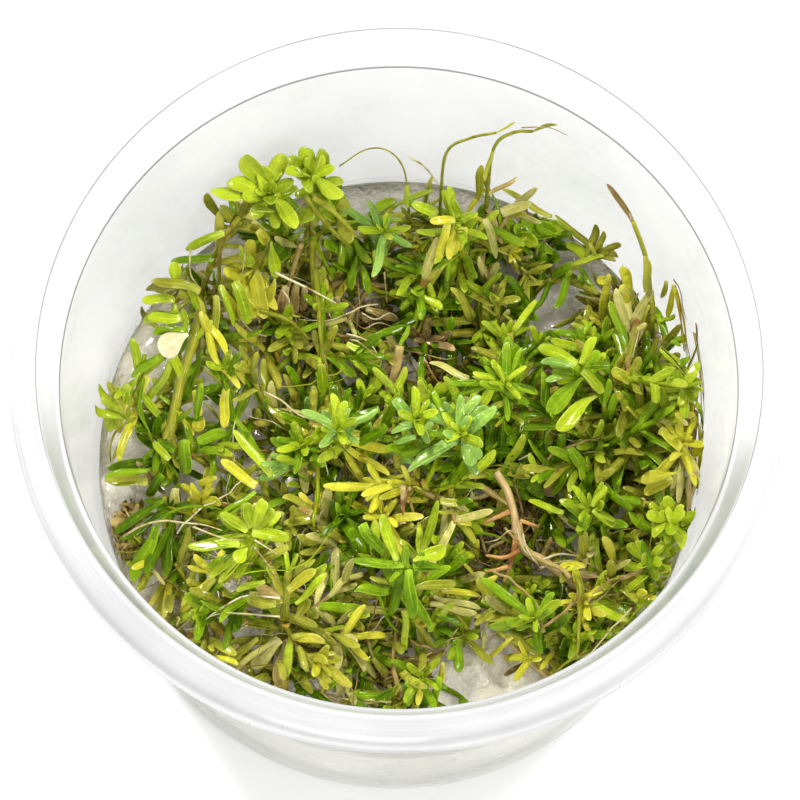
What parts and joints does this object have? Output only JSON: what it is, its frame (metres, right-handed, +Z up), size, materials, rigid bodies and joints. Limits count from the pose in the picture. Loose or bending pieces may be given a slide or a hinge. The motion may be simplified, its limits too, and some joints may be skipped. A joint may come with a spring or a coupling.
{
  "type": "tissue culture cup of rotala aquarium plants",
  "caption": "Clear tapered cup with a rolled rim, holding a disc of nutrient gel in which a dense tangle of leafy stem plants is rooted.",
  "frame": {"origin": "middle of the cup's foot ring, on the plane it stands on", "axes": "+Z up along the cup's axis; +X to the right and +Y away from the viewer in the picture"},
  "size_m": [0.1, 0.1, 0.072],
  "materials": {
    "cup_plastic": "smooth translucent moulded plastic",
    "gel": "wet cloudy gel",
    "lime_leaf": "moist satin leaf",
    "green_leaf": "moist satin leaf",
    "dark_leaf": "moist satin leaf",
    "blue_green_leaf": "moist satin leaf",
    "yellow_leaf": "moist satin leaf",
    "olive_stem": "moist stem",
    "tan_tissue": "damp fibrous tissue",
    "cream_root": "damp pale root",
    "brown_tissue": "damp dead tissue"
  },
  "bodies": {
    "root": {"cup": "cup_plastic", "agar_gel": "gel", "crown_back_left": "blue_green_leaf", "crown_back_left_second": "green_leaf", "trailing_stem_left": "olive_stem", "hanging_leaves_back_left": "yellow_leaf", "thick_stem_left": "lime_leaf", "wall_bunch_left": "lime_leaf", "blades_lower_left": "dark_leaf", "small_crown_left": "yellow_leaf", "root_clump_left": "tan_tissue", "crown_lower_left": "lime_leaf", "spears_lower_left": "yellow_leaf", "olive_stem_front_left": "olive_stem", "pale_leaves_front": "cream_root", "green_leaves_front": "green_leaf", "gel_sprig_front": "green_leaf", "crown_front_centre": "lime_leaf", "blades_front_centre": "green_leaf", "curled_leaves_centre": "yellow_leaf", "crown_centre": "blue_green_leaf", "small_crown_centre": "green_leaf", "green_stem_centre": "green_leaf", "yellow_leaves_centre": "yellow_leaf", "crown_blue_left": "blue_green_leaf", "crown_blue_centre": "blue_green_leaf", "star_crown": "lime_leaf", "crown_right": "lime_leaf", "glossy_leaves_right": "lime_leaf", "dark_blades_right": "dark_leaf", "hairy_stem": "tan_tissue", "small_crown_right": "lime_leaf", "yellow_pods_right": "yellow_leaf", "crown_front_right": "green_leaf", "pale_pair_front": "cream_root", "tan_stem_front_right": "tan_tissue", "green_leaves_front_right": "green_leaf", "wall_crown_right": "lime_leaf", "leaf_pairs_lower_right": "lime_leaf", "yellow_bunch_right": "yellow_leaf", "whorl_right": "lime_leaf", "diagonal_stem_right": "green_leaf", "mossy_stem_right": "olive_stem", "tall_leaf_right": "yellow_leaf", "brown_tip_right": "olive_stem", "brown_stem_back_right": "olive_stem", "wet_leaves_back_right": "dark_leaf", "bent_stem_back": "olive_stem", "bent_stem_back_right": "olive_stem", "root_arch_back": "cream_root", "yellow_crown_back": "yellow_leaf", "crown_back": "blue_green_leaf", "dark_blades_back": "dark_leaf", "decayed_clump_back": "brown_tissue", "flat_stem_back": "tan_tissue", "striped_stem_centre": "tan_tissue", "root_clump_centre": "brown_tissue", "olive_stem_back": "olive_stem", "thin_stem_left": "olive_stem", "leaves_left": "green_leaf"}
  },
  "joints": []
}
